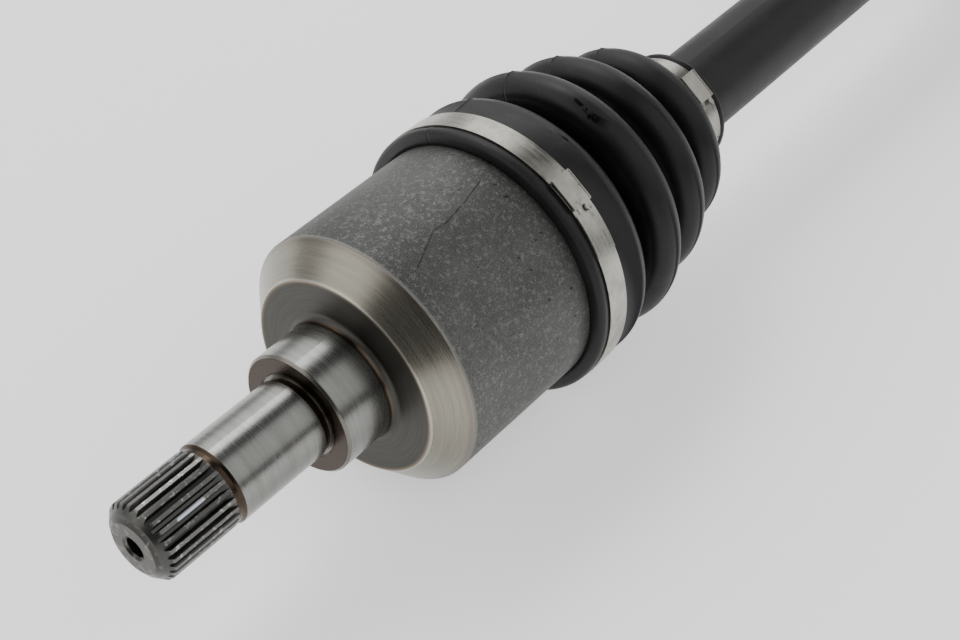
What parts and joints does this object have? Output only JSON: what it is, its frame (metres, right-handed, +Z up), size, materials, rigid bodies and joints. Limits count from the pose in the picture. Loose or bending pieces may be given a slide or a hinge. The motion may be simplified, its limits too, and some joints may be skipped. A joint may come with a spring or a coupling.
{
  "type": "drive shaft",
  "caption": "Car half shaft with a plunging tripod joint and splined stub inboard, a black bar, rubber boots with band clamps, and a fixed ball joint with a threaded stub outboard.",
  "frame": {"origin": "on the shaft's axis at the middle of the inboard journal, the smooth seat between the splines and the collar", "axes": "+X along the shaft from the inboard stub to the outboard stub, +Z up, with one track of the tripod joint on top"},
  "size_m": [0.642, 0.0964, 0.0975],
  "materials": {
    "forged_steel": "dark phosphated forging with ground seats",
    "black_painted_bar": "satin black paint",
    "boot_rubber": "satin moulded rubber",
    "clamp_steel": "bright rolled strip",
    "bearing_steel": "ground and oiled"
  },
  "bodies": {
    "housing": {"inboard_housing": "forged_steel", "inboard_boot": "boot_rubber", "inboard_large_clamp": "clamp_steel"},
    "side_rollers": {"roller_inner_ring_2": "bearing_steel", "roller_inner_ring_3": "bearing_steel", "roller_needles_2": "bearing_steel", "roller_needles_3": "bearing_steel", "roller_retainers_2": "bearing_steel", "roller_retainers_3": "bearing_steel"},
    "side_ring_2": {"roller_outer_ring_2": "bearing_steel"},
    "side_ring_3": {"roller_outer_ring_3": "bearing_steel"},
    "bar": {"axle_bar": "black_painted_bar", "tripod_spider": "bearing_steel", "spider_circlip": "bearing_steel", "inboard_small_clamp": "clamp_steel", "inner_race": "bearing_steel", "inner_race_circlip": "bearing_steel", "outboard_small_clamp": "clamp_steel"},
    "top_roller": {"roller_inner_ring_1": "bearing_steel", "roller_needles_1": "bearing_steel", "roller_retainers_1": "bearing_steel"},
    "top_ring": {"roller_outer_ring_1": "bearing_steel"},
    "cage_and_balls": {"ball_cage": "bearing_steel", "ball_1": "bearing_steel", "ball_2": "bearing_steel", "ball_3": "bearing_steel", "ball_4": "bearing_steel", "ball_5": "bearing_steel", "ball_6": "bearing_steel"},
    "bell": {"outboard_bell": "forged_steel", "outboard_boot": "boot_rubber", "outboard_large_clamp": "clamp_steel"}
  },
  "joints": [
    {"name": "plunge", "type": "slide", "parent": "housing", "child": "side_rollers", "axis": [1, 0, 0], "range_m": [-0.0095, 0.0095], "deforming": ["inboard_boot"]},
    {"name": "inboard_bend", "type": "hinge", "parent": "side_rollers", "child": "bar", "pos_m": [0.08465, 0, -0.01225], "axis": [0, 1, 0], "range_deg": [-18, 18], "deforming": ["inboard_boot"]},
    {"name": "top_roller_bend", "type": "hinge", "parent": "bar", "child": "top_roller", "pos_m": [0.08465, 0, 0.0245], "axis": [0, 1, 0], "range_deg": [-18, 18]},
    {"name": "side_ring_2_roll", "type": "hinge", "parent": "side_rollers", "child": "side_ring_2", "pos_m": [0.08465, -0.02122, -0.01225], "axis": [0, -0.866, -0.5], "range_deg": [-36, 36]},
    {"name": "side_ring_3_roll", "type": "hinge", "parent": "side_rollers", "child": "side_ring_3", "pos_m": [0.08465, 0.02122, -0.01225], "axis": [0, 0.866, -0.5], "range_deg": [-36, 36]},
    {"name": "top_ring_roll", "type": "hinge", "parent": "top_roller", "child": "top_ring", "pos_m": [0.08465, 0, 0.0245], "axis": [0, 0, 1], "range_deg": [-36, 36]},
    {"name": "cage_turn", "type": "hinge", "parent": "bar", "child": "cage_and_balls", "pos_m": [0.48815, 0, 0], "axis": [0, 0, 1], "range_deg": [-19, 19], "deforming": ["outboard_boot"]},
    {"name": "bell_turn", "type": "hinge", "parent": "cage_and_balls", "child": "bell", "pos_m": [0.48815, 0, 0], "axis": [0, 0, 1], "range_deg": [-19, 19], "deforming": ["outboard_boot"]}
  ],
  "couplings": [
    {"joint": "top_roller_bend", "follows": "inboard_bend", "ratio": -1},
    {"joint": "side_ring_2_roll", "follows": "plunge", "rad_per_m": 64.516},
    {"joint": "side_ring_3_roll", "follows": "plunge", "rad_per_m": 64.516},
    {"joint": "top_ring_roll", "follows": "plunge", "rad_per_m": 64.516},
    {"joint": "bell_turn", "follows": "cage_turn", "ratio": 1}
  ]
}
